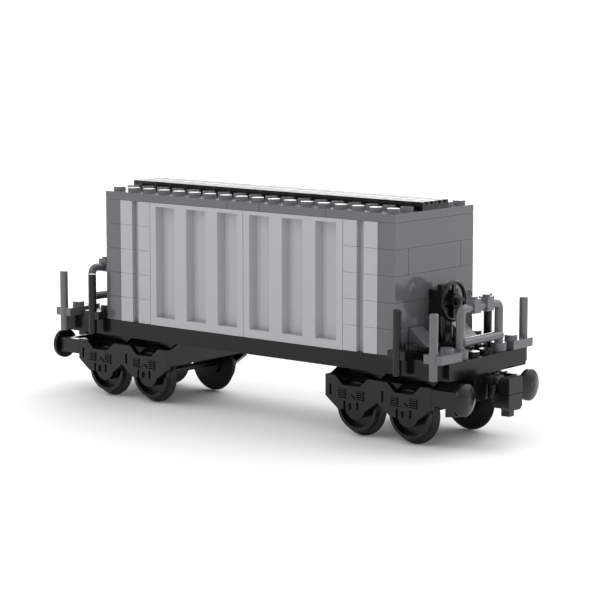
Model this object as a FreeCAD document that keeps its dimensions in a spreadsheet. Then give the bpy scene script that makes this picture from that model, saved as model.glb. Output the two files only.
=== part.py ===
"""Model box car: a four-axle toy railway van built from studded plastic bricks.

Millimetres, +Z up, ground (bottom of the wheel flanges) at z = 0, origin under the
middle of the car.  +X is the end that carries the brake wheel, -Y its right-hand side.
"""
import FreeCAD, Part
import os
import Sketcher
from FreeCAD import Placement, Rotation, Vector

SIZES = [
    # building grid
    ("pitch", 8.0), ("brick_height", 9.6), ("plate_height", 3.2),
    ("stud_radius", 2.4), ("stud_height", 1.7),
    ("play", 0.1), ("stud_fit", 0.1), ("stud_room", 0.3), ("plate_skin", 1.1),
    ("seam", 0.12), ("rebate", 0.3),
    # deck
    ("deck_length", "=pitch * 24"), ("deck_width", "=pitch * 6"), ("deck_top", 32.2),
    ("deck_thick", 6.4), ("deck_skin", 1.6), ("rib_thick", 1.4),
    # body
    ("wall_courses", 5.0),
    ("recess_wide", 9.9), ("recess_narrow", 7.7), ("recess_depth", 3.2), ("recess_pitch", "=pitch * 2"),
    ("recess_foot", 3.2), ("recess_head", 1.5),
    ("groove_wide", 3.2), ("groove_deep", 2.2),
    ("slot_wide", 1.2), ("slot_deep", 1.1), ("slot_offset", 1.6),
    # bars, clips and railings
    ("bar_radius", 1.6), ("bar_length", 24.0), ("bar_drop", 6.0), ("bar_bottom", "=deck_top - bar_drop"),
    ("bar_round", 0.35), ("bar_out", 4.0), ("bar_offset", "=pitch * 3 + bar_out"),
    ("clip_wrap", 0.6), ("clip_reach", "=bar_offset + clip_wrap"), ("clip_width", 7.8),
    ("clip_fit", 0.03),
    ("post_spread", "=pitch * 1.5"), ("rail_height", 17.6), ("rail_bend", 2.4),
    ("low_rail_height", 5.8), ("low_rail_out", 0.8), ("foot_radius", 3.0),
    ("collar_long", 4.0), ("collar_deep", 4.0), ("collar_low", 15.6), ("collar_high", 20.8),
    ("stub_radius", 1.5), ("stub_top", 21.6),
    # brake stand
    ("slope_height", 6.4), ("slope_lip", 0.5), ("column_radius", 3.4), ("column_neck", 3.0),
    ("column_foot", 1.6), ("carrier_set", 0.4), ("carrier_front", "=pitch * 10 - play - carrier_set"),
    ("wheel_ring", 6.9), ("wheel_tube", 0.75), ("wheel_plane", "=carrier_front + play + wheel_tube"),
    ("hub_radius", 2.9), ("hub_start", "=carrier_front + play"), ("hub_deep", 2.3),
    ("hub_end", "=hub_start + hub_deep"), ("nub_radius", 1.3), ("nub_deep", 0.7),
    ("nub_end", "=hub_end + nub_deep"), ("spoke_wide", 1.3), ("spoke_deep", 1.0), ("wheel_fit", 0.05),
    # bogie plate and king pin
    ("bogie_centre", "=pitch * 8"), ("axle_offset", 12.0),
    ("pad_gap", 0.05), ("pad_thick", 0.55), ("plate_thick", 2.6), ("plate_half", 15.0),
    ("pad_top", "=deck_top - deck_thick - pad_gap"), ("plate_top", "=pad_top - pad_thick"),
    ("plate_bottom", "=plate_top - plate_thick"), ("pad_radius", 7.8),
    ("tongue_half", 4.0), ("tongue_end", "=hitch_pivot + 1.6"), ("yoke_half", 8.0),
    ("peg_radius", 2.4), ("peg_height", 2.0), ("peg_spread", 8.0), ("peg_fit", 0.03),
    ("pin_radius", 3.95), ("pin_fit", 0.05), ("bore_radius", "=pin_radius + pin_fit"),
    ("pin_head_radius", 5.5), ("pin_room", 0.3), ("counterbore_radius", "=pin_head_radius + pin_room"),
    ("pin_sink", 0.2), ("pin_head_thick", 2.0), ("pin_head_top", "=deck_top - pin_sink"),
    ("pin_head_bottom", "=pin_head_top - pin_head_thick"),
    ("counterbore_floor", "=pin_head_bottom - pin_sink"), ("socket_radius", 8.0),
    # wheels
    ("flange_radius", 11.3), ("axle_height", "=flange_radius"), ("tread_radius", 9.3),
    ("rim_radius", 9.1), ("dish_radius", 7.9), ("dish_floor_radius", 7.6), ("wheel_hub_radius", 4.2),
    ("wheel_inner", 15.4), ("hub_step", 1.2), ("flange_inner", "=wheel_inner + hub_step"),
    ("flange_thick", 0.7), ("flange_outer", "=flange_inner + flange_thick"),
    ("flare_wide", 1.2), ("tread_start", "=flange_outer + flare_wide"),
    ("tread_wide", 2.1), ("wheel_outer", "=tread_start + tread_wide"),
    ("dish_deep", 2.8), ("dish_floor", "=wheel_outer - dish_deep"), ("flange_round", 0.45),
    ("axle_radius", 1.25), ("axle_fit", 0.05), ("bearing_floor", "=frame_back - play"),
    ("axle_half", "=bearing_floor - play"),
    # wheel holders
    ("frame_half", "=axle_offset"), ("frame_gap", 1.0), ("frame_thick", 2.4),
    ("frame_back", "=wheel_outer + frame_gap"), ("frame_face", "=frame_back + frame_thick"),
    ("frame_top", "=plate_bottom"), ("notch_top_half", 7.6), ("notch_floor_half", 3.9),
    ("notch_deep", 3.3), ("notch_floor", "=frame_top - notch_deep"),
    ("frame_shoulder", 14.6), ("frame_foot_half", 6.1), ("frame_bottom", 10.3),
    ("end_wall_thick", 1.1), ("end_wall_bottom", 16.0), ("gusset_out", 20.8), ("gusset_tip", 0.3),
    ("gusset_in", "=web_half + gusset_tip"), ("gusset_top", "=plate_top"), ("web_gap", 0.2),
    ("web_half", "=plate_half + web_gap"), ("web_thick", 1.8),
    ("boss_radius", 4.7), ("boss_gap", 0.4), ("boss_face", "=dish_floor + boss_gap"),
    ("relief_deep", 0.8), ("notch_half", 1.1), ("notch_high", 12.9),
    ("slot_place", 3.0), ("slot_half", 0.5), ("slot_high", 13.6),
    ("slit_offset", 9.6), ("slit_wide", 1.0), ("slit_low", 15.2), ("slit_high", 19.2),
    ("spring_offset", 4.2), ("spring_half", 1.75), ("ridge_low", 14.2), ("ridge_pitch", 0.8),
    ("ridge_thick", 0.4), ("ridge_out", 0.5),
    ("chevron_half", 1.6), ("chevron_peak", 16.2), ("chevron_drop", 1.1), ("chevron_thick", 0.6),
    # buffers and couplers
    ("beam_back", 30.4), ("beam_front", 31.6), ("beam_bottom", 16.4), ("beam_gap", 0.4),
    ("beam_top", "=plate_bottom - beam_gap"), ("arm_start", "=axle_offset * 2"),
    ("disc_back", 35.1), ("disc_front", 36.6), ("disc_mid", 37.5), ("disc_dome", 38.0),
    ("disc_radius", 5.85), ("disc_shoulder", 3.6), ("disc_crown", 1.5), ("disc_spread", 20.2),
    ("disc_height", 19.2), ("shaft_radius", 2.6),
    ("step_bottom", 13.1), ("step_inner", 18.0), ("step_top", 21.6), ("step_front", 34.5),
    ("hitch_pivot", 34.6), ("hitch_gap", 0.3), ("eye_radius", 2.4), ("eye_thick", 5.1),
    ("eye_top", "=plate_bottom - hitch_gap"), ("eye_bottom", "=eye_top - eye_thick"),
    ("hitch_pin_radius", 1.2), ("hitch_pin_fit", 0.05), ("hitch_pin_head", 2.1),
    ("hitch_pin_thick", 1.1), ("hitch_pin_shoulder", "=eye_bottom - hitch_gap"),
    ("hitch_pin_bottom", "=hitch_pin_shoulder - hitch_pin_thick"),
    ("head_back", 40.0), ("head_front", 44.0), ("head_half", 4.2), ("head_bottom", 13.7),
    ("head_gap", 0.2), ("head_top", "=deck_top - deck_thick - head_gap"), ("head_chamfer", 1.2),
    ("seam_height", 19.7), ("seam_wide", 0.4), ("seam_deep", 0.4),
    ("neck_half", 1.6), ("neck_thick", 2.4), ("neck_top", "=eye_bottom + neck_thick"),
    ("ear_start", 37.4), ("ear_bottom", "=neck_top - play * 2"), ("ear_drop", 1.4),
    ("ear_top", "=head_top - ear_drop"), ("ear_slot", 0.9), ("cheek_back", 36.9), ("cheek_half", 3.2),
    ("cheek_bottom", 14.2), ("lip_back", 38.8), ("lip_front", 42.3), ("lip_half", 1.55),
    ("lip_bottom", 11.2),
]

doc = FreeCAD.newDocument("box_car")
sheet = doc.addObject("Spreadsheet::Sheet", "size")
for row, (alias, value) in enumerate(SIZES, start=1):
    sheet.set("A%d" % row, alias)
    sheet.set("B%d" % row, str(value))
    sheet.setAlias("B%d" % row, alias)
doc.recompute()

ALIASES = sorted([alias for alias, value in SIZES], key=len, reverse=True)
NODES = []


def full(text):
    """Write a short formula of size names as an expression that reads the sheet."""
    words = []
    word = ""
    for letter in str(text) + " ":
        if letter.isalnum() or letter in "_.":
            word += letter
            continue
        words.append("size." + word if word in ALIASES else word)
        words.append(letter)
        word = ""
    return "".join(words).strip()


def bind(target, **formulas):
    for name, formula in formulas.items():
        target.setExpression(name.replace("__", "."), full(formula))
    return target


def at(target, x="0", y="0", z="0"):
    return bind(target, Placement__Base__x=x, Placement__Base__y=y, Placement__Base__z=z)


def box(x0, x1, y0, y1, z0, z1):
    made = doc.addObject("Part::Box", "block")
    bind(made, Length="(%s) - (%s)" % (x1, x0), Width="(%s) - (%s)" % (y1, y0))
    bind(made, Height="(%s) - (%s)" % (z1, z0))
    return at(made, x0, y0, z0)


TURNS = {"X": Rotation(Vector(0, 1, 0), 90), "Y": Rotation(Vector(1, 0, 0), -90), "Z": Rotation()}


def rod(axis, x, y, z, radius, length):
    made = doc.addObject("Part::Cylinder", "rod")
    made.Placement = Placement(Vector(), TURNS[axis])
    bind(made, Radius=radius, Height=length)
    return at(made, x, y, z)


def cut(base, tool):
    made = doc.addObject("Part::Cut", "trimmed")
    made.Base = base
    made.Tool = tool
    return made


def fuse(*pieces):
    made = doc.addObject("Part::MultiFuse", "joined")
    made.Shapes = list(pieces)
    return made


def piece(shape):
    """Wrap one primitive so that its own position is kept when it is copied."""
    made = doc.addObject("Part::Compound", "piece")
    made.Links = [shape]
    return made


def copy(master, x="0", y="0", z="0", turn=0, axis=Vector(0, 0, 1)):
    """A linked copy of a piece, turned about its own origin and then moved."""
    link = doc.addObject("App::Link", "copy")
    link.LinkedObject = master
    link.LinkTransform = False
    link.LinkPlacement = Placement(Vector(), Rotation(axis, turn))
    return bind(link, LinkPlacement__Base__x=x, LinkPlacement__Base__y=y, LinkPlacement__Base__z=z)


def node(label, *pieces):
    """A named sub-part: one piece or a group of like pieces."""
    made = doc.addObject("Part::Compound", label)
    made.Links = list(pieces)
    made.Label = label
    NODES.append(made)
    return made


def body(name):
    return doc.addObject("PartDesign::Body", name)


def sketch(owner, plane, offset, loops=(), circles=()):
    """A sketch on an origin plane; every corner and centre is held by two distances."""
    made = owner.newObject("Sketcher::SketchObject", owner.Name + "_sketch")
    origin = [item for item in owner.Origin.OriginFeatures if item.Role == plane + "_Plane"]
    made.AttachmentSupport = (origin[0], "")
    made.MapMode = "FlatFace"
    bind(made, AttachmentOffset__Base__z=offset)
    held = []
    for loop in loops:
        first = made.GeometryCount
        count = len(loop)
        spots = [Vector(10, 0, 0)]
        turn = Rotation(Vector(0, 0, 1), 360.0 / count)
        for step in range(count):
            spots.append(turn.multVec(spots[-1]))
        edges = [Part.LineSegment(spots[i], spots[i + 1]) for i in range(count)]
        made.addGeometry(edges, False)
        rules = []
        for i in range(count):
            rules.append(Sketcher.Constraint("Coincident", first + i, 2, first + (i + 1) % count, 1))
        made.addConstraint(rules)
        for i, (across, up) in enumerate(loop):
            held.append(("DistanceX", first + i, 1, spots[i].x, across))
            held.append(("DistanceY", first + i, 1, spots[i].y, up))
    for across, up, radius in circles:
        number = made.addGeometry(Part.Circle(Vector(1, 1, 0), Vector(0, 0, 1), 1.0), False)
        held.append(("DistanceX", number, 3, 1.0, across))
        held.append(("DistanceY", number, 3, 1.0, up))
        held.append(("Radius", number, 0, 1.0, radius))
    rules = []
    for kind, number, point, start, formula in held:
        if kind == "Radius":
            rules.append(Sketcher.Constraint(kind, number, start))
        else:
            rules.append(Sketcher.Constraint(kind, -1, 1, number, point, start))
    before = made.ConstraintCount
    made.addConstraint(rules)
    for i, (kind, number, point, start, formula) in enumerate(held):
        made.setExpression("Constraints[%d]" % (before + i), full(formula))
    return made


def pad(owner, plane, offset, length, loops=(), circles=()):
    made = owner.newObject("PartDesign::Pad", owner.Name + "_pad")
    made.Profile = sketch(owner, plane, offset, loops, circles)
    return bind(made, Length=length)


def pocket(owner, plane, offset, length, loops=(), circles=()):
    """A pocket that runs along the plane's own normal from the offset."""
    doc.recompute()
    before = owner.Shape.Volume
    made = owner.newObject("PartDesign::Pocket", owner.Name + "_pocket")
    made.Profile = sketch(owner, plane, offset, loops, circles)
    made.Reversed = True
    bind(made, Length=length)
    doc.recompute()
    if owner.Shape.Volume > before - 0.01:
        raise RuntimeError(made.Name + " cuts nothing")
    return made


def spin(owner, plane, axis, loop):
    made = owner.newObject("PartDesign::Revolution", owner.Name + "_spin")
    made.Profile = sketch(owner, plane, "0", [loop])
    made.ReferenceAxis = (made.Profile[0], [axis])
    made.Angle = 360
    return made


def rect(x0, x1, y0, y1):
    return [(x0, y0), (x1, y0), (x1, y1), (x0, y1)]


# ---------------------------------------------------------------- studded blocks
# Each block stands on z = 0 with its corner stud square at the origin corner; it is a
# hollow shell, open below, so that the studs under it enter it with a small clearance.
# A thin rim, set in by the rebate, carries it, so a fine line shows between two courses.
def studs(columns, rows, top):
    made = []
    for i in range(columns):
        for j in range(rows):
            x = "pitch * %.1f" % (i + 0.5)
            y = "pitch * %.1f" % (j + 0.5)
            made.append(rod("Z", x, y, top, "stud_radius", "stud_height"))
    return made


def block(columns, rows, height, skin):
    long, wide = "pitch * %d" % columns, "pitch * %d" % rows
    outer = box("play", long + " - play", "play", wide + " - play", "seam", height)
    rim = box("play + rebate", long + " - play - rebate", "play + rebate", wide + " - play - rebate",
              "0", "seam + play")
    room = "pitch / 2 - stud_radius - stud_fit"
    inner = box(room, "%s - (%s)" % (long, room), room, "%s - (%s)" % (wide, room), "0",
                "%s - %s" % (height, skin))
    return fuse(cut(fuse(outer, rim), inner), *studs(columns, rows, height))


# ---------------------------------------------------------------- deck
# The long base: a skirted slab with ribs below, studs on the two end platforms and
# under the walls, and a stepped socket over each bogie.
deck = body("deck")
pad(deck, "XY", "deck_top - deck_thick", "deck_thick",
    [rect("-deck_length / 2", "deck_length / 2", "-deck_width / 2", "deck_width / 2")])
bay_x = ["-deck_length / 2 + deck_skin", "-bogie_centre - socket_radius - rib_thick",
         "-bogie_centre + socket_radius + rib_thick", "-pitch * 2", "pitch * 2",
         "bogie_centre - socket_radius - rib_thick", "bogie_centre + socket_radius + rib_thick",
         "deck_length / 2 - deck_skin"]
bays = []
for i in range(len(bay_x) - 1):
    left = bay_x[i] if i == 0 else bay_x[i] + " + rib_thick / 2"
    right = bay_x[i + 1] if i == len(bay_x) - 2 else bay_x[i + 1] + " - rib_thick / 2"
    if i in (1, 5):
        for side in ("-", ""):
            low = side + "(deck_width / 2 - deck_skin)"
            high = side + "(socket_radius + rib_thick)"
            bays.append(rect(left, right, low, high))
        continue
    bays.append(rect(left, right, "-deck_width / 2 + deck_skin", "deck_width / 2 - deck_skin"))
pocket(deck, "XY", "deck_top - deck_thick", "deck_thick - deck_skin", bays)
pocket(deck, "XY", "deck_top - deck_thick", "deck_thick", (),
       [("-bogie_centre", "0", "bore_radius"), ("bogie_centre", "0", "bore_radius")])
pocket(deck, "XY", "counterbore_floor", "deck_top - counterbore_floor", (),
       [("-bogie_centre", "0", "counterbore_radius"), ("bogie_centre", "0", "counterbore_radius")])
deck_studs = []
for end in ("-", ""):
    for column in (9, 10, 11):
        for line in range(6):
            deck_studs.append((end + "pitch * %.1f" % (column + 0.5),
                               "pitch * %.1f" % (line - 2.5), "stud_radius"))
    for line in (0, 1, 4, 5):
        deck_studs.append((end + "pitch * 8.5", "pitch * %.1f" % (line - 2.5), "stud_radius"))
for column in range(16):
    for side in (-2.5, 2.5):
        deck_studs.append(("pitch * %.1f" % (column - 7.5), "pitch * %.1f" % side, "stud_radius"))
pad(deck, "XY", "deck_top", "stud_height", (), deck_studs)
NODES.append(deck)

# ---------------------------------------------------------------- side walls
# Tall panel: 6 x 1 x 5, outer face on y = 0, three tapered recesses that stop short of
# the top and the bottom, six studs above and a channel below for the deck's studs.
wall_top = "wall_courses * brick_height"
panel = body("wall_panel")
pad(panel, "XY", "0", wall_top, [rect("-pitch * 3 + play", "pitch * 3 - play", "0", "pitch - play")])
dents = []
for step in (-1, 0, 1):
    middle = "recess_pitch * %d" % step
    dents.append([(middle + " - recess_wide / 2", "-play"),
                  (middle + " - recess_narrow / 2", "recess_depth"),
                  (middle + " + recess_narrow / 2", "recess_depth"),
                  (middle + " + recess_wide / 2", "-play")])
pocket(panel, "XY", "recess_foot", wall_top + " - recess_head - recess_foot", dents)
stud_wall = "pitch / 2 - stud_radius - stud_fit"
channel = rect("-pitch * 3 + " + stud_wall, "pitch * 3 - (%s)" % stud_wall, stud_wall,
               "pitch - (%s)" % stud_wall)
pocket(panel, "XY", "0", "stud_height + stud_room", [channel])
panel_studs = []
for i in range(6):
    panel_studs.append(("pitch * %.1f" % (i - 2.5), "pitch / 2", "stud_radius"))
pad(panel, "XY", wall_top, "stud_height", (), panel_studs)
half_width = "deck_width / 2"
node("right_front_wall_panel", copy(panel, "pitch * 3", "-" + half_width, "deck_top"))
node("right_rear_wall_panel", copy(panel, "-pitch * 3", "-" + half_width, "deck_top"))
node("left_front_wall_panel", copy(panel, "pitch * 3", half_width, "deck_top", 180))
node("left_rear_wall_panel", copy(panel, "-pitch * 3", half_width, "deck_top", 180))

# Grooved brick: 2 x 1, an upright groove down the middle of its outer face on y = 0.
grooved = body("grooved_brick")
groove_left = "-groove_wide / 2"
pad(grooved, "XY", "seam", "brick_height - seam",
    [[("-pitch + play", "0"), (groove_left, "0"), (groove_left, "groove_deep"),
      ("groove_wide / 2", "groove_deep"), ("groove_wide / 2", "0"), ("pitch - play", "0"),
      ("pitch - play", "pitch - play"), ("-pitch + play", "pitch - play")]])
edge = "(pitch - play - rebate)"
pad(grooved, "XY", "0", "seam",
    [[("-" + edge, "rebate"), (groove_left + " - rebate", "rebate"),
      (groove_left + " - rebate", "groove_deep"), ("groove_wide / 2 + rebate", "groove_deep"),
      ("groove_wide / 2 + rebate", "rebate"), (edge, "rebate"), (edge, edge), ("-" + edge, edge)]])
grooved_room = []
for side in (-0.5, 0.5):
    centre = "pitch * %.1f" % side
    grooved_room.append((centre, "pitch / 2", "stud_radius + stud_fit"))
pocket(grooved, "XY", "0", "stud_height + stud_room", (), grooved_room)
pad(grooved, "XY", "brick_height", "stud_height", (),
    [("-pitch / 2", "pitch / 2", "stud_radius"), ("pitch / 2", "pitch / 2", "stud_radius")])
for name, x, y, turn in (("right_front", "pitch * 7", "-" + half_width, 0),
                         ("right_rear", "-pitch * 7", "-" + half_width, 0),
                         ("left_front", "pitch * 7", half_width, 180),
                         ("left_rear", "-pitch * 7", half_width, 180)):
    stack = [copy(grooved, x, y, "deck_top + brick_height * %d" % i, turn) for i in range(5)]
    node(name + "_grooved_bricks", *stack)

# ---------------------------------------------------------------- end walls
# Four long bricks and, in the fourth course, a shorter brick between two small ones.
long_brick = block(1, 6, "brick_height", "deck_skin")
short_brick = block(1, 4, "brick_height", "deck_skin")
corner_brick = block(1, 1, "brick_height", "deck_skin")
for name, x in (("front", "pitch * 8"), ("rear", "-pitch * 9")):
    stack = []
    for course in (0, 1, 2, 4):
        stack.append(copy(long_brick, x, "-pitch * 3", "deck_top + brick_height * %d" % course))
    level = "deck_top + brick_height * 3"
    node(name + "_end_wall_bricks", *stack)
    node(name + "_end_short_brick", copy(short_brick, x, "-pitch * 2", level))
    node(name + "_end_corner_bricks", copy(corner_brick, x, "-pitch * 3", level),
         copy(corner_brick, x, "pitch * 2", level))

# ---------------------------------------------------------------- roof
# Four plates span the full width; two rows of grille tiles run along the middle.
roof_base = "deck_top + wall_courses * brick_height"
long_plate = block(8, 6, "plate_height", "plate_skin")
small_plate = block(2, 6, "plate_height", "plate_skin")
broad_plate = block(4, 6, "plate_height", "plate_skin")
node("roof_long_plate", copy(long_plate, "-pitch * 9", "-pitch * 3", roof_base))
node("roof_narrow_plate", copy(small_plate, "-pitch", "-pitch * 3", roof_base))
node("roof_middle_plate", copy(broad_plate, "pitch", "-pitch * 3", roof_base))
node("roof_front_plate", copy(broad_plate, "pitch * 5", "-pitch * 3", roof_base))

grille = body("grille_tile")
pad(grille, "XY", "0", "plate_height",
    [rect("-pitch + play", "pitch - play", "-pitch / 2 + play", "pitch / 2 - play")])
slots = []
for side in (-1, 1):
    middle = "slot_offset * %d" % side
    slots.append(rect("-pitch", "pitch", middle + " - slot_wide / 2", middle + " + slot_wide / 2"))
pocket(grille, "XY", "plate_height - slot_deep", "slot_deep", slots)
pocket(grille, "XY", "0", "stud_height + stud_fit", (),
       [("-pitch / 2", "0", "stud_radius + stud_fit"), ("pitch / 2", "0", "stud_radius + stud_fit")])
for name, y in (("right", "-pitch / 2"), ("left", "pitch / 2")):
    line = [copy(grille, "pitch * %d" % (2 * i - 8), y, roof_base + " + plate_height") for i in range(9)]
    node("roof_%s_grilles" % name, *line)

# ---------------------------------------------------------------- clip plates and bars
# Clip plate: a one-stud plate, stud square on the origin, whose two jaws point to -Y.
reach = "bar_offset - pitch * 2.5"
clip = body("clip_plate")
pad(clip, "XY", "0", "plate_height",
    [rect("-pitch / 2 + play", "pitch / 2 - play", "-pitch / 2", "pitch / 2 - play")])
pad(clip, "XY", "0", "plate_height",
    [rect("-clip_width / 2", "clip_width / 2", "-clip_reach + pitch * 2.5", "-pitch / 2 + play")])
pocket(clip, "XY", "0", "stud_height + stud_room", (), [("0", "0", "stud_radius + stud_fit")])
pocket(clip, "XY", "0", "plate_height", (), [("0", "-(%s)" % reach, "bar_radius + clip_fit")])
pad(clip, "XY", "plate_height", "stud_height", (), [("0", "0", "stud_radius")])

bar = body("grab_bar")
spin(bar, "XZ", "V_Axis", [("0", "0"), ("bar_radius - bar_round", "0"), ("bar_radius", "bar_round"),
                           ("bar_radius", "bar_length - bar_round"),
                           ("bar_radius - bar_round", "bar_length"), ("0", "bar_length")])
for name, column in (("outer", "pitch * 11.5"), ("inner", "pitch * 9.5")):
    clips = []
    bars = []
    for end in ("", "-"):
        for side, turn in (("-", 0), ("", 180)):
            clips.append(copy(clip, end + column, side + "pitch * 2.5", "deck_top", turn))
            bars.append(copy(bar, end + column, side + "bar_offset", "bar_bottom"))
    node(name + "_clip_plates", *clips)
    node(name + "_grab_bars", *bars)

# ---------------------------------------------------------------- end railings
# A bent bar on two round feet, with a low cross bar and two collars on the top bar.
def foot(side):
    y = side + "post_spread"
    hole = rod("Z", "0", y, "0", "stud_radius + stud_fit", "stud_height + stud_room")
    return cut(rod("Z", "0", y, "0", "foot_radius", "plate_height"), hole)


# The torus sweeps from its own X to its own Y: here from outwards to upwards.
BENDS = {"-": Rotation(0.5, -0.5, -0.5, 0.5), "": Rotation(0.5, 0.5, 0.5, 0.5)}
rail_parts = [foot("-"), foot("")]
for side in ("-", ""):
    rail_parts.append(rod("Z", "0", side + "post_spread", "plate_height - play", "bar_radius",
                          "rail_height - rail_bend - plate_height + play"))
    start = side + "pitch / 2"
    rail_parts.append(box("-collar_deep / 2", "collar_deep / 2", start + " - collar_long / 2",
                          start + " + collar_long / 2", "collar_low", "collar_high"))
    rail_parts.append(rod("Z", "0", start, "collar_high - play", "stub_radius",
                          "stub_top - collar_high + play"))
    bend = doc.addObject("Part::Torus", "bend")
    bind(bend, Radius1="rail_bend", Radius2="bar_radius")
    bend.Angle3 = 90
    bend.Placement = Placement(Vector(), BENDS[side])
    at(bend, "0", "%s(post_spread - rail_bend)" % side, "rail_height - rail_bend")
    rail_parts.append(bend)
rail_parts.append(rod("Y", "0", "-post_spread + rail_bend", "rail_height", "bar_radius",
                      "post_spread * 2 - rail_bend * 2"))
rail_parts.append(rod("Y", "low_rail_out", "-post_spread", "low_rail_height", "bar_radius",
                      "post_spread * 2"))
railing = fuse(*rail_parts)
node("front_railing", copy(railing, "pitch * 11.5", "0", "deck_top"))
node("rear_railing", copy(railing, "-pitch * 11.5", "0", "deck_top", 180))

# ---------------------------------------------------------------- brake stand
# A jumper plate with one middle stud carries a round brick, a side-stud brick and the
# wheel; a small slope stands on a one-stud plate on each side.
jumper_room = "pitch / 2 - stud_radius - stud_fit"
jumper = cut(box("-pitch / 2 + play", "pitch / 2 - play", "-pitch + play", "pitch - play", "0",
                 "plate_height"),
             box("-pitch / 2 + " + jumper_room, "pitch / 2 - (%s)" % jumper_room,
                 "-pitch + " + jumper_room, "pitch - (%s)" % jumper_room, "0",
                 "plate_height - plate_skin"))
jumper = fuse(jumper, rod("Z", "0", "0", "plate_height", "stud_radius", "stud_height"))
stand_x = "pitch * 9.5"
node("brake_jumper_plate", copy(jumper, stand_x, "0", "deck_top"))
small_base = block(1, 1, "plate_height", "plate_skin")
node("slope_base_plates", copy(small_base, "pitch * 9", "-pitch * 2", "deck_top"),
     copy(small_base, "pitch * 9", "pitch", "deck_top"))
slope = body("slope_brick")
pad(slope, "XZ", "-pitch / 2 + play", "pitch - play * 2",
    [[("-pitch / 2 + play", "0"), ("pitch / 2 - play", "0"), ("pitch / 2 - play", "slope_lip"),
      ("-pitch / 2 + play + slope_lip", "slope_height"), ("-pitch / 2 + play", "slope_height")]])
pocket(slope, "XY", "0", "stud_height + stud_fit", (), [("0", "0", "stud_radius + stud_fit")])
slopes_at = "deck_top + plate_height"
node("brake_stand_slopes", copy(slope, stand_x, "-pitch * 1.5", slopes_at),
     copy(slope, stand_x, "pitch * 1.5", slopes_at))

column = body("round_column")
spin(column, "XZ", "V_Axis",
     [("stud_radius + stud_fit", "0"), ("column_neck", "0"), ("column_neck", "column_foot"),
      ("column_radius", "column_foot"), ("column_radius", "brick_height"),
      ("stud_radius", "brick_height"), ("stud_radius", "brick_height + stud_height"),
      ("0", "brick_height + stud_height"), ("0", "stud_height + stud_room"),
      ("stud_radius + stud_fit", "stud_height + stud_room")])
node("brake_column", copy(column, stand_x, "0", slopes_at))
carrier_base = slopes_at + " + brick_height"
carrier = cut(block(1, 1, "brick_height", "deck_skin"),
              box("pitch - play - carrier_set", "pitch", "0", "pitch", "0", "brick_height + play"))
side_stud = rod("X", "pitch - play * 2 - carrier_set", "pitch / 2", "brick_height - pitch / 2",
                "stud_radius", "stud_height + play")
node("brake_carrier_brick", copy(fuse(carrier, side_stud), "pitch * 9", "-pitch / 2", carrier_base))
wheel_height = carrier_base + " + brick_height - pitch / 2"
ring = doc.addObject("Part::Torus", "ring")
bind(ring, Radius1="wheel_ring", Radius2="wheel_tube")
ring.Placement = Placement(Vector(), TURNS["X"])
at(ring, "wheel_plane")
wheel_bits = [ring, rod("X", "hub_start", "0", "0", "hub_radius", "hub_end - hub_start"),
              rod("X", "hub_end - play", "0", "0", "nub_radius", "nub_end - hub_end + play")]
spoke = piece(box("wheel_plane - spoke_deep / 2", "wheel_plane + spoke_deep / 2", "-spoke_wide / 2",
                  "spoke_wide / 2", "hub_radius - play * 3", "wheel_ring"))
for step in range(4):
    wheel_bits.append(copy(spoke, turn=90 * step, axis=Vector(1, 0, 0)))
wheel_socket = rod("X", "hub_start - play", "0", "0", "stud_radius + wheel_fit",
                   "carrier_front + stud_height - hub_start + play * 2")
node("brake_wheel", copy(cut(fuse(*wheel_bits), wheel_socket), "0", "0", wheel_height))

# ---------------------------------------------------------------- bogies
# Everything below is drawn about the bogie's own pivot, outer end towards +X, and set
# down twice: as it stands under +X and turned half round under -X.
bogie_plate = body("bogie_plate")
pad(bogie_plate, "XY", "plate_bottom", "plate_top - plate_bottom",
    [[("-frame_half - axle_offset", "-plate_half"), ("frame_half + axle_offset", "-plate_half"),
      ("frame_half + axle_offset", "-yoke_half"), ("beam_front", "-yoke_half"),
      ("beam_front", "-tongue_half"), ("tongue_end", "-tongue_half"), ("tongue_end", "tongue_half"),
      ("beam_front", "tongue_half"), ("beam_front", "yoke_half"),
      ("frame_half + axle_offset", "yoke_half"), ("frame_half + axle_offset", "plate_half"),
      ("-frame_half - axle_offset", "plate_half")]])
pad(bogie_plate, "XY", "plate_top", "pad_top - plate_top", (), [("0", "0", "pad_radius")])
pocket(bogie_plate, "XY", "plate_bottom", "pad_top - plate_bottom", (),
       [("0", "0", "pin_radius + peg_fit"), ("hitch_pivot", "0", "hitch_pin_radius + peg_fit")])
peg_holes = []
for x in ("-axle_offset", "axle_offset"):
    for side in ("-", ""):
        peg_holes.append((x, side + "peg_spread", "peg_radius + peg_fit"))
pocket(bogie_plate, "XY", "plate_bottom", "plate_top - plate_bottom", (), peg_holes)

king_pin = body("king_pin")
spin(king_pin, "XZ", "V_Axis",
     [("0", "plate_bottom"), ("pin_radius", "plate_bottom"), ("pin_radius", "pin_head_bottom"),
      ("pin_head_radius", "pin_head_bottom"), ("pin_head_radius", "pin_head_top"),
      ("0", "pin_head_top")])

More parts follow.
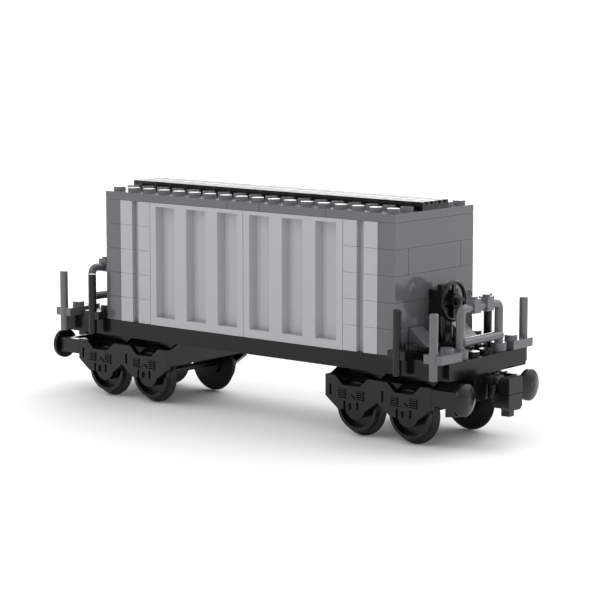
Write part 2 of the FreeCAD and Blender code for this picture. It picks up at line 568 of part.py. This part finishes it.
# Holder: two side frames joined by end walls and a web, with a bearing boss in each.  The
# springs are five raised ridges on either side of the axle; one upright slit on each face.
holder_body = body("holder")
side_outline = [("-frame_half", "frame_top"), ("-notch_top_half", "frame_top"),
                ("-notch_floor_half", "notch_floor"), ("notch_floor_half", "notch_floor"),
                ("notch_top_half", "frame_top"), ("frame_half", "frame_top"),
                ("frame_half", "frame_shoulder"), ("frame_foot_half", "frame_bottom"),
                ("-frame_foot_half", "frame_bottom"), ("-frame_half", "frame_shoulder")]
end_outline = [("-frame_back - play", "end_wall_bottom"), ("frame_back + play", "end_wall_bottom"),
               ("frame_back + play", "frame_top"), ("gusset_out", "frame_top"),
               ("gusset_in", "gusset_top"), ("web_half", "gusset_top"), ("web_half", "frame_top"),
               ("-web_half", "frame_top"), ("-web_half", "gusset_top"), ("-gusset_in", "gusset_top"),
               ("-gusset_out", "frame_top"), ("-frame_back - play", "frame_top")]
pad(holder_body, "YZ", "-frame_half", "end_wall_thick", [end_outline])
pad(holder_body, "XY", "frame_top - web_thick", "web_thick",
    [rect("-frame_half + play", "frame_half - play", "-web_half", "web_half")])
pad(holder_body, "YZ", "frame_half - end_wall_thick", "end_wall_thick", [end_outline])
pad(holder_body, "XZ", "frame_back", "frame_face - frame_back", [side_outline])
pad(holder_body, "XZ", "-frame_face", "frame_face - frame_back", [side_outline])
axle_spot = ("0", "axle_height", "boss_radius")
pad(holder_body, "XZ", "boss_face", "frame_back - boss_face + play", (), [axle_spot])
pad(holder_body, "XZ", "-frame_back - play", "frame_back - boss_face + play", (), [axle_spot])
bore_spot = ("0", "axle_height", "axle_radius + axle_fit")
pocket(holder_body, "XZ", "-bearing_floor", "bearing_floor * 2", (), [bore_spot])
pad(holder_body, "XY", "frame_top", "peg_height", (),
    [("0", "-peg_spread", "peg_radius"), ("0", "peg_spread", "peg_radius")])
half_slit = "slit_wide / 2"
reliefs = [rect("-notch_half", "notch_half", "frame_bottom - play", "notch_high")]
ridges = []
for side in ("-", ""):
    middle = side + "slot_place"
    reliefs.append(rect(middle + " - slot_half", middle + " + slot_half", "frame_bottom - play",
                        "slot_high"))
    middle = side + "spring_offset"
    reliefs.append(rect(middle + " - spring_half", middle + " + spring_half", "ridge_low",
                        "ridge_low + ridge_pitch * 4 + ridge_thick"))
    for turn in range(5):
        low = "ridge_low + ridge_pitch * %d" % turn
        ridges.append(rect(middle + " - spring_half", middle + " + spring_half", low,
                           low + " + ridge_thick"))
ridges.append([("-chevron_half", "chevron_peak - chevron_drop"), ("0", "chevron_peak"),
               ("chevron_half", "chevron_peak - chevron_drop"),
               ("chevron_half", "chevron_peak - chevron_drop - chevron_thick"),
               ("0", "chevron_peak - chevron_thick"),
               ("-chevron_half", "chevron_peak - chevron_drop - chevron_thick")])
for side, face, raised in (("-", "frame_face - relief_deep", "frame_face - relief_deep"),
                           ("", "-frame_face", "-frame_face - ridge_out")):
    middle = side + "slit_offset"
    slit = rect(middle + " - " + half_slit, middle + " + " + half_slit, "slit_low", "slit_high")
    pocket(holder_body, "XZ", face, "relief_deep", reliefs + [slit])
    pad(holder_body, "XZ", raised, "relief_deep + ridge_out", ridges)
holder = piece(holder_body)

# Wheel: flanged, with a dished outer face; turned about the axle on the Y axis.
wheel = body("rail_wheel")
spin(wheel, "XY", "V_Axis",
     [("axle_radius", "wheel_inner"), ("wheel_hub_radius", "wheel_inner"),
      ("wheel_hub_radius", "flange_inner"), ("flange_radius - flange_round", "flange_inner"),
      ("flange_radius", "flange_inner + flange_round"),
      ("flange_radius - flange_round / 2", "flange_outer"), ("tread_radius", "tread_start"),
      ("rim_radius", "wheel_outer"), ("dish_radius", "wheel_outer"),
      ("dish_floor_radius", "dish_floor"), ("axle_radius", "dish_floor")])
axle = body("wheel_axle")
spin(axle, "XY", "V_Axis",
     [("0", "-axle_half"), ("axle_radius - bar_round", "-axle_half"),
      ("axle_radius", "-axle_half + bar_round"), ("axle_radius", "axle_half - bar_round"),
      ("axle_radius - bar_round", "axle_half"), ("0", "axle_half")])

# Buffer beam: a cross bar with side arms, two shafts and two domed discs.
beam_bits = [box("beam_back", "beam_front", "-frame_face", "frame_face", "beam_bottom", "beam_top"),
             box("beam_back", "beam_front", "-yoke_half", "yoke_half", "beam_top - play",
                 "plate_bottom")]
for side in ("-", ""):
    inner, outer = side + "frame_back", side + "frame_face"
    low, high = (outer, inner) if side else (inner, outer)
    beam_bits.append(box("arm_start + play", "step_front", low, high, "beam_bottom", "beam_top"))
    beam_bits.append(rod("X", "beam_front - play", side + "disc_spread", "disc_height",
                         "shaft_radius", "disc_back - beam_front + play * 2"))
disc = body("buffer_disc")
spin(disc, "XZ", "H_Axis",
     [("disc_back", "0"), ("disc_back", "disc_radius"), ("disc_front", "disc_radius"),
      ("disc_mid", "disc_shoulder"), ("disc_dome", "disc_crown"), ("disc_dome", "0")])
beam_bits.append(box("beam_back", "beam_front", "-frame_face", "-disc_spread + disc_radius",
                     "step_bottom", "beam_top"))
beam_bits.append(box("beam_front - play", "step_front", "-frame_face", "-step_inner",
                     "step_bottom + play * 2", "step_top"))
for side in ("-", ""):
    beam_bits.append(copy(disc, "0", side + "disc_spread", "disc_height"))
buffer_beam = fuse(*beam_bits)

# Coupler: an eye on its pin, a neck with a slotted ear, cheeks, and a head with a lip below.
eye = rod("Z", "hitch_pivot", "0", "eye_bottom", "eye_radius", "eye_top - eye_bottom")
neck = box("hitch_pivot", "head_back + play", "-neck_half", "neck_half", "eye_bottom", "neck_top")
cheeks = box("cheek_back", "head_back + play", "-cheek_half", "cheek_half", "cheek_bottom",
             "neck_top")
ear = box("ear_start", "head_back + play", "-neck_half", "neck_half", "ear_bottom", "ear_top")
ear_middle = "(ear_start + head_back) / 2"
ear_hole = fuse(rod("Y", ear_middle, "-neck_half - play", "ear_bottom + ear_slot * 2", "ear_slot",
                    "neck_half * 2 + play * 2"),
                rod("Y", ear_middle, "-neck_half - play", "ear_top - ear_slot * 2", "ear_slot",
                    "neck_half * 2 + play * 2"),
                box(ear_middle + " - ear_slot", ear_middle + " + ear_slot", "-neck_half - play",
                    "neck_half + play", "ear_bottom + ear_slot * 2", "ear_top - ear_slot * 2"))
head = body("coupler_head")
pad(head, "YZ", "head_back", "head_front - head_back",
    [[("-head_half + head_chamfer", "head_bottom"), ("head_half - head_chamfer", "head_bottom"),
      ("head_half", "head_bottom + head_chamfer"), ("head_half", "seam_height - seam_wide / 2"),
      ("head_half - seam_deep", "seam_height - seam_wide / 2"),
      ("head_half - seam_deep", "seam_height + seam_wide / 2"),
      ("head_half", "seam_height + seam_wide / 2"), ("head_half", "head_top"),
      ("-head_half", "head_top"), ("-head_half", "seam_height + seam_wide / 2"),
      ("-head_half + seam_deep", "seam_height + seam_wide / 2"),
      ("-head_half + seam_deep", "seam_height - seam_wide / 2"),
      ("-head_half", "seam_height - seam_wide / 2"), ("-head_half", "head_bottom + head_chamfer")]])
pocket(head, "YZ", "head_front - seam_deep", "seam_deep",
       [rect("-head_half - play", "head_half + play", "seam_height - seam_wide / 2",
             "seam_height + seam_wide / 2")])
lip = box("lip_back", "lip_front", "-lip_half", "lip_half", "lip_bottom", "head_bottom + play")
coupler = fuse(cut(fuse(eye, neck), rod("Z", "hitch_pivot", "0", "eye_bottom - play",
                                        "hitch_pin_radius + hitch_pin_fit",
                                        "eye_top - eye_bottom + play * 2")),
               cut(ear, ear_hole), cheeks, head, lip)
hitch_pin = fuse(rod("Z", "hitch_pivot", "0", "hitch_pin_bottom", "hitch_pin_head",
                     "hitch_pin_shoulder - hitch_pin_bottom"),
                 rod("Z", "hitch_pivot", "0", "hitch_pin_bottom", "hitch_pin_radius",
                     "plate_top - hitch_pin_bottom"))

for name, end, turn in (("front", "", 0), ("rear", "-", 180)):
    middle = end + "bogie_centre"
    node(name + "_bogie_plate", copy(bogie_plate, middle, turn=turn))
    node(name + "_king_pin", copy(king_pin, middle, turn=turn))
    node(name + "_buffer_beam", copy(buffer_beam, middle, turn=turn))
    node(name + "_coupler", copy(coupler, middle, turn=turn))
    node(name + "_coupler_pin", copy(hitch_pin, middle, turn=turn))
    for place, sign in (("outer", "+"), ("inner", "-")):
        x = "%s(bogie_centre %s axle_offset)" % (end, sign)
        node("%s_%s_wheel_holder" % (name, place), copy(holder, x, turn=turn))
        node("%s_%s_wheels" % (name, place), copy(wheel, x, "0", "axle_height"),
             copy(wheel, x, "0", "axle_height", 180))
        node("%s_%s_axle" % (name, place), copy(axle, x, "0", "axle_height"))

# ---------------------------------------------------------------- checks and export
doc.recompute()
for item in doc.Objects:
    if "Invalid" in item.State or "Error" in item.State:
        raise RuntimeError("%s did not compute: %s" % (item.Name, item.State))
os.makedirs("parts", exist_ok=True)
for item in NODES:
    shape = item.Shape
    if shape.isNull() or not shape.isValid():
        raise RuntimeError(item.Label + " has no valid shape")
for item in NODES:
    item.Shape.exportStep("parts/%s.step" % item.Label)
    limits = item.Shape.BoundBox
    print("%-28s %2d solids  x %7.2f %7.2f  y %7.2f %7.2f  z %6.2f %6.2f" % (
        item.Label, len(item.Shape.Solids), limits.XMin, limits.XMax, limits.YMin, limits.YMax,
        limits.ZMin, limits.ZMax))
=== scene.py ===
# Toy railway box car of studded plastic bricks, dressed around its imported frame.
# Metres; +X is the brake-wheel end, -Y the right-hand side, ground at z = 0.
import math

import bpy
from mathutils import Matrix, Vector

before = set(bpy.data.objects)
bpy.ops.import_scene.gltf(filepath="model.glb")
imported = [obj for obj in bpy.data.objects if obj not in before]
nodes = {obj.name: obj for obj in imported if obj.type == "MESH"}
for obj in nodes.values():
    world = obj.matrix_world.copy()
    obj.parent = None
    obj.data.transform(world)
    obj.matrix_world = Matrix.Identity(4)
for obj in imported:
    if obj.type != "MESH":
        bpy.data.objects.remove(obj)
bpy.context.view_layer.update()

# ---------------------------------------------------------------- side walls
# Light grey walls: two tall recessed panels and two stacks of grooved bricks a side,
# injection-moulded glossy plastic with softly rounded edges, pressed on to the deck.
LIGHT_GREY = (0.37, 0.385, 0.395)
EDGE_ROUND = 0.00016
EDGE_ANGLE = math.radians(40)
CAST_SCALE = 45
SCUFF_STRETCH = (900, 240, 500)
WAVE_SCALE = 160
WAVE_DEPTH = 0.0004
WAVE_STRENGTH = 0.06
PLASTIC_IOR = 1.53


def group_socket(tree, name, kind, into, value=None):
    socket = tree.interface.new_socket(name=name, in_out=into, socket_type=kind)
    if value is not None:
        socket.default_value = value
    return socket


def moulded_skin():
    """Node group for moulded plastic: a slow cast in the colour, a faint waviness of the
    surface, and fine handling marks that only show in the gloss."""
    tree = bpy.data.node_groups.new("moulded skin", "ShaderNodeTree")
    group_socket(tree, "Plastic", "NodeSocketColor", "INPUT", (0.5, 0.5, 0.5, 1))
    group_socket(tree, "Cast", "NodeSocketFloat", "INPUT", 0.04)
    group_socket(tree, "Gloss", "NodeSocketFloat", "INPUT", 0.15)
    group_socket(tree, "Marks", "NodeSocketFloat", "INPUT", 0.05)
    group_socket(tree, "Colour", "NodeSocketColor", "OUTPUT")
    group_socket(tree, "Roughness", "NodeSocketFloat", "OUTPUT")
    group_socket(tree, "Height", "NodeSocketFloat", "OUTPUT")
    add, link = tree.nodes.new, tree.links.new
    inside, outside = add("NodeGroupInput"), add("NodeGroupOutput")
    place = add("ShaderNodeTexCoord")
    cloud = add("ShaderNodeTexNoise")
    cloud.inputs["Scale"].default_value = CAST_SCALE
    cloud.inputs["Detail"].default_value = 3
    link(place.outputs["Object"], cloud.inputs["Vector"])
    swing = add("ShaderNodeMapRange")
    swing.inputs["To Min"].default_value = -1
    swing.inputs["To Max"].default_value = 1
    link(cloud.outputs["Fac"], swing.inputs["Value"])
    amount = add("ShaderNodeMath")
    amount.operation = "MULTIPLY_ADD"
    amount.inputs[2].default_value = 1
    link(swing.outputs["Result"], amount.inputs[0])
    link(inside.outputs["Cast"], amount.inputs[1])
    tint = add("ShaderNodeHueSaturation")
    link(inside.outputs["Plastic"], tint.inputs["Color"])
    link(amount.outputs["Value"], tint.inputs["Value"])
    link(tint.outputs["Color"], outside.inputs["Colour"])
    stretch = add("ShaderNodeMapping")
    stretch.inputs["Scale"].default_value = SCUFF_STRETCH
    link(place.outputs["Object"], stretch.inputs["Vector"])
    scuff = add("ShaderNodeTexNoise")
    scuff.inputs["Scale"].default_value = 1
    scuff.inputs["Detail"].default_value = 6
    scuff.inputs["Roughness"].default_value = 0.7
    link(stretch.outputs["Vector"], scuff.inputs["Vector"])
    rub = add("ShaderNodeMath")
    rub.operation = "MULTIPLY_ADD"
    link(scuff.outputs["Fac"], rub.inputs[0])
    link(inside.outputs["Marks"], rub.inputs[1])
    link(inside.outputs["Gloss"], rub.inputs[2])
    link(rub.outputs["Value"], outside.inputs["Roughness"])
    wave = add("ShaderNodeTexNoise")
    wave.inputs["Scale"].default_value = WAVE_SCALE
    wave.inputs["Detail"].default_value = 1
    link(place.outputs["Object"], wave.inputs["Vector"])
    link(wave.outputs["Fac"], outside.inputs["Height"])
    return tree


def moulded_plastic(name, colour, gloss, cast=0.04, marks=0.05, shine=0.5):
    """Glossy plastic: gloss is its roughness, cast how much the colour drifts, marks how far
    handling dulls it, and shine how strongly it mirrors."""
    material = bpy.data.materials.new(name)
    material.use_nodes = True
    tree = material.node_tree
    shader = tree.nodes["Principled BSDF"]
    skin = tree.nodes.new("ShaderNodeGroup")
    skin.node_tree = MOULDED_SKIN
    skin.inputs["Plastic"].default_value = (*colour, 1)
    skin.inputs["Cast"].default_value = cast
    skin.inputs["Gloss"].default_value = gloss
    skin.inputs["Marks"].default_value = marks
    bump = tree.nodes.new("ShaderNodeBump")
    bump.inputs["Strength"].default_value = WAVE_STRENGTH
    bump.inputs["Distance"].default_value = WAVE_DEPTH
    tree.links.new(skin.outputs["Colour"], shader.inputs["Base Color"])
    tree.links.new(skin.outputs["Roughness"], shader.inputs["Roughness"])
    tree.links.new(skin.outputs["Height"], bump.inputs["Height"])
    tree.links.new(bump.outputs["Normal"], shader.inputs["Normal"])
    shader.inputs["IOR"].default_value = PLASTIC_IOR
    shader.inputs["Specular IOR Level"].default_value = shine
    return material


def dress(names, material, edge=EDGE_ROUND):
    """Give pieces their material and, where edge isn't 0, softly rounded moulded edges."""
    for name in names:
        piece = nodes[name]
        piece.data.materials.clear()
        piece.data.materials.append(material)
        if edge:
            weld = piece.modifiers.new("joined corners", "WELD")
            weld.merge_threshold = 1e-6
            soften = piece.modifiers.new("moulded edges", "BEVEL")
            soften.width = edge
            soften.segments = 2
            soften.limit_method = "ANGLE"
            soften.angle_limit = EDGE_ANGLE
            soften.harden_normals = True


MOULDED_SKIN = moulded_skin()
wall_plastic = moulded_plastic("wall light grey", LIGHT_GREY, 0.16)
ENDS = ("front", "rear")
dress([side + "_" + end + part for side in ("right", "left") for end in ENDS
       for part in ("_wall_panel", "_grooved_bricks")], wall_plastic)

# ---------------------------------------------------------------- end walls and roof
# Dark grey bricks laid in courses close the ends, and four dark grey plates with bare
# studs make the roof; the same glossy plastic as the walls.
DARK_GREY = (0.10, 0.107, 0.113)
brick_plastic = moulded_plastic("brick dark grey", DARK_GREY, 0.12)
dress([end + part for end in ENDS
       for part in ("_end_wall_bricks", "_end_short_brick", "_end_corner_bricks")], brick_plastic)
dress(["roof_long_plate", "roof_narrow_plate", "roof_middle_plate", "roof_front_plate"],
      brick_plastic)

# ---------------------------------------------------------------- roof grilles
# Two rows of black grooved tiles along the middle of the roof, moulded in glossy plastic
# and pressed on to the plates' studs; small pieces, so their edges are rounded less.
BLACK = (0.005, 0.005, 0.0055)
FINE_EDGE = 0.0001
grille_plastic = moulded_plastic("grille black", BLACK, 0.14, cast=0.1, shine=0.35)
dress(["roof_right_grilles", "roof_left_grilles"], grille_plastic, FINE_EDGE)

# ---------------------------------------------------------------- deck
# The long black base with its studded end platforms, one plastic moulding with a low
# shine; the walls, clips and railings are pressed on to its studs.
deck_plastic = moulded_plastic("deck black", BLACK, 0.15, cast=0.1, shine=0.22)
dress(["deck"], deck_plastic)

# ---------------------------------------------------------------- bars, clips, railings
# Upright bars held in clip plates, grey at the outer corners and black at the inner ones,
# and a bent grey railing at each end; bars, railings and the column get no edge rounding.
TRIM_GREY = (0.105, 0.112, 0.118)
trim_plastic = moulded_plastic("trim grey", TRIM_GREY, 0.17)
dress(["outer_clip_plates", "brake_stand_slopes"], trim_plastic)
dress(["outer_grab_bars", "front_railing", "rear_railing"], trim_plastic, 0)
black_trim = moulded_plastic("trim black", BLACK, 0.15, cast=0.1, shine=0.3)
dress(["inner_clip_plates", "brake_jumper_plate", "slope_base_plates", "brake_carrier_brick"],
      black_trim)
dress(["inner_grab_bars", "brake_column"], black_trim, 0)

# ---------------------------------------------------------------- brake wheel
# A black hand wheel with four spokes, moulded in one and pressed over the side stud of its
# brick, where it turns; too slight for rounded edges to show.
dress(["brake_wheel"], black_trim, 0)

# ---------------------------------------------------------------- bogies
# Black wheel holders with moulded springs, wheels, buffers and coupler, in plastic a
# little less glossy than the trim; the axles between the wheels are blackened metal.
GEAR_BLACK = (0.006, 0.006, 0.0065)
gear_plastic = moulded_plastic("running gear black", GEAR_BLACK, 0.22, cast=0.12, marks=0.08,
                               shine=0.3)
for end in ENDS:
    dress([end + "_bogie_plate", end + "_outer_wheel_holder", end + "_inner_wheel_holder",
           end + "_coupler", end + "_buffer_beam"], gear_plastic, FINE_EDGE)
    dress([end + "_outer_wheels", end + "_inner_wheels", end + "_king_pin", end + "_coupler_pin"],
          gear_plastic, 0)


def drawn_steel(name, colour, roughness, grain_stretch):
    """Metal rod with fine lines left by drawing, its gloss varying along them."""
    material = bpy.data.materials.new(name)
    material.use_nodes = True
    tree = material.node_tree
    shader = tree.nodes["Principled BSDF"]
    place = tree.nodes.new("ShaderNodeTexCoord")
    stretch = tree.nodes.new("ShaderNodeMapping")
    stretch.inputs["Scale"].default_value = grain_stretch
    grain = tree.nodes.new("ShaderNodeTexNoise")
    grain.inputs["Scale"].default_value = 1
    grain.inputs["Detail"].default_value = 4
    band = tree.nodes.new("ShaderNodeMapRange")
    band.inputs["To Min"].default_value = roughness * 0.7
    band.inputs["To Max"].default_value = roughness * 1.5
    tree.links.new(place.outputs["Object"], stretch.inputs["Vector"])
    tree.links.new(stretch.outputs["Vector"], grain.inputs["Vector"])
    tree.links.new(grain.outputs["Fac"], band.inputs["Value"])
    tree.links.new(band.outputs["Result"], shader.inputs["Roughness"])
    shader.inputs["Base Color"].default_value = (*colour, 1)
    shader.inputs["Metallic"].default_value = 1
    return material


axle_steel = drawn_steel("axle steel", (0.05, 0.05, 0.052), 0.35, (1500, 60, 1500))
for end in ENDS:
    dress([end + "_outer_axle", end + "_inner_axle"], axle_steel, 0)

# ---------------------------------------------------------------- studio
# A plain pale floor, an even pale room, soft light from the front, the back and overhead,
# and the camera, which looks down a little at the right side and the brake-wheel end.
FLOOR_HALF = 30.0
FLOOR_WHITE = (0.92, 0.92, 0.92, 1)
ROOM_STRENGTH = 0.86
floor_mesh = bpy.data.meshes.new("studio floor")
floor_corners = [(-FLOOR_HALF, -FLOOR_HALF, 0), (FLOOR_HALF, -FLOOR_HALF, 0),
                 (FLOOR_HALF, FLOOR_HALF, 0), (-FLOOR_HALF, FLOOR_HALF, 0)]
floor_mesh.from_pydata(floor_corners, [], [(0, 1, 2, 3)])
floor = bpy.data.objects.new("studio floor", floor_mesh)
bpy.context.scene.collection.objects.link(floor)
floor_paint = bpy.data.materials.new("studio floor paint")
floor_paint.use_nodes = True
floor_shader = floor_paint.node_tree.nodes["Principled BSDF"]
floor_shader.inputs["Base Color"].default_value = FLOOR_WHITE
floor_shader.inputs["Roughness"].default_value = 0.9
floor_shader.inputs["Specular IOR Level"].default_value = 0.1
floor_mesh.materials.append(floor_paint)

world = bpy.data.worlds.new("studio")
world.use_nodes = True
room = world.node_tree.nodes["Background"]
room.inputs["Color"].default_value = (1, 1, 1, 1)
room.inputs["Strength"].default_value = ROOM_STRENGTH
bpy.context.scene.world = world


def softbox(name, spot, aim, size, watts):
    lamp = bpy.data.lights.new(name, "AREA")
    lamp.shape = "RECTANGLE"
    lamp.size, lamp.size_y = size
    lamp.energy = watts
    stand = bpy.data.objects.new(name, lamp)
    stand.location = spot
    stand.rotation_euler = (Vector(aim) - Vector(spot)).to_track_quat("-Z", "Y").to_euler()
    bpy.context.scene.collection.objects.link(stand)


softbox("key softbox", spot=(-0.5, -0.9, 1.2), aim=(0, 0, 0.04), size=(0.8, 0.8), watts=3.5)
softbox("back softbox", spot=(-1.0, 1.2, 0.55), aim=(0, 0, 0.08), size=(1.6, 0.6), watts=10)

OVERHEAD_TILT = math.radians(-38)
OVERHEAD_LEAN = math.radians(22)
overhead = bpy.data.lights.new("overhead bank", "SUN")
overhead.energy = 1.3
overhead.angle = math.radians(70)
bank = bpy.data.objects.new("overhead bank", overhead)
bank.rotation_euler = (OVERHEAD_TILT, OVERHEAD_LEAN, 0)
bpy.context.scene.collection.objects.link(bank)

CAMERA_SPOT = (0.5487, -0.6530, 0.1653)
LOOK_DOWN = 8.118
LOOK_TURN = 129.624
lens = bpy.data.cameras.new("camera")
lens.lens = 134.0
lens.sensor_width = 36
lens.clip_start = 0.01
lens.clip_end = 200
camera = bpy.data.objects.new("camera", lens)
camera.location = CAMERA_SPOT
camera.rotation_euler = (math.radians(90 - LOOK_DOWN), 0, math.radians(LOOK_TURN - 90))
bpy.context.scene.collection.objects.link(camera)
bpy.context.scene.camera = camera
bpy.context.scene.view_settings.view_transform = "Standard"
